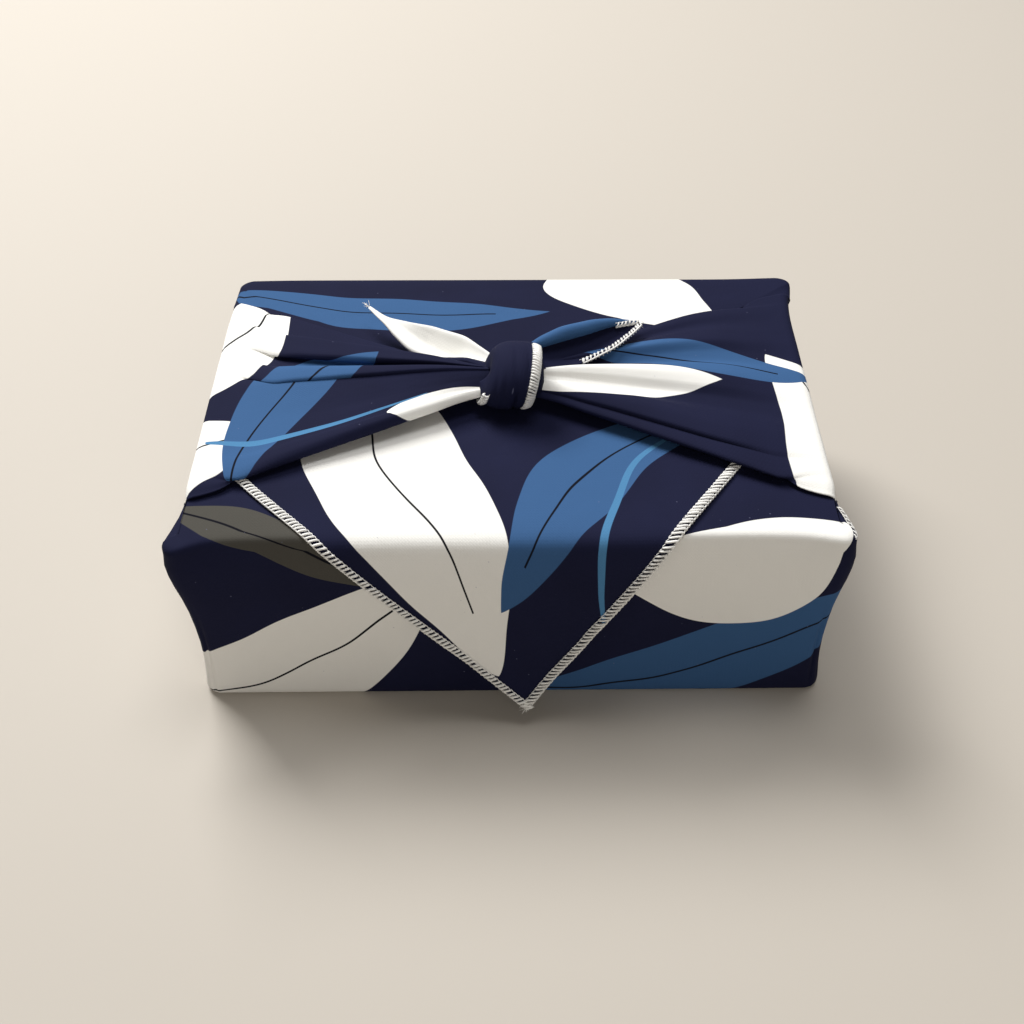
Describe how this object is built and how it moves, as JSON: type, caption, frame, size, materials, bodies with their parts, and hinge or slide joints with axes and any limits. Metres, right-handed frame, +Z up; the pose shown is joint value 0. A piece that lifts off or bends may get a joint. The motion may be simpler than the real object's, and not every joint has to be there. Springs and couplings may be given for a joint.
{
  "type": "furoshiki wrap on a gift box",
  "caption": "Square cotton cloth tied round a low box: one corner hangs over the front in a point, the side corners are knotted on top.",
  "frame": {"origin": "centre of the underside, on the surface that the bundle stands on", "axes": "+X to the right along the bundle's length, +Y to the back, +Z up; the hanging point is at -Y"},
  "size_m": [0.2946, 0.2142, 0.1255],
  "materials": {
    "cotton": "plain-woven printed cotton, navy ground with white and steel-blue leaf motifs, white overlocked edge",
    "greyboard": "matte uncoated greyboard"
  },
  "bodies": {
    "root": {"cloth": "cotton", "box": "greyboard"}
  },
  "joints": []
}
